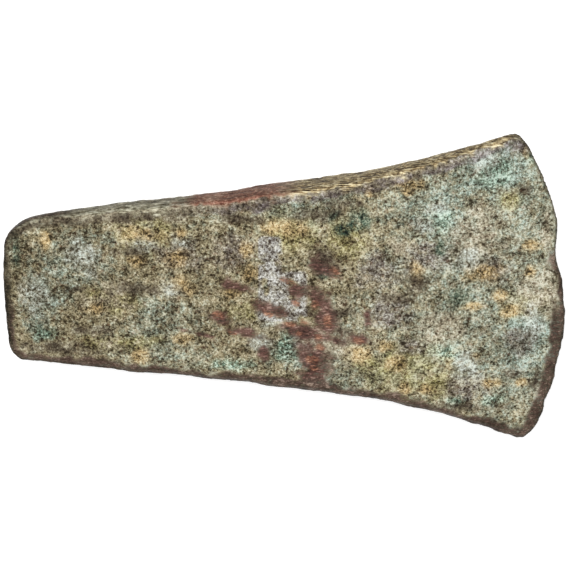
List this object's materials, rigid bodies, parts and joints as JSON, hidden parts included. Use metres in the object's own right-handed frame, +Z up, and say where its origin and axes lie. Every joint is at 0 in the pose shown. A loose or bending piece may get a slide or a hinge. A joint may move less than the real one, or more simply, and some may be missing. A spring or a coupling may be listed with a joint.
{
  "type": "flat axe head",
  "caption": "Flat bronze axe head with a narrow rounded butt, splayed flanks, swelling faces and a chipped, curved cutting edge.",
  "frame": {"origin": "on the ground, below the middle of the axe head's box as it lies on a broad face", "axes": "+X from the butt to the cutting edge, +Y across the blade, +Z up through its thickness"},
  "size_m": [0.15, 0.0852, 0.0121],
  "materials": {
    "patinated_bronze": "matte"
  },
  "bodies": {
    "root": {"axe_head": "patinated_bronze"}
  },
  "joints": []
}
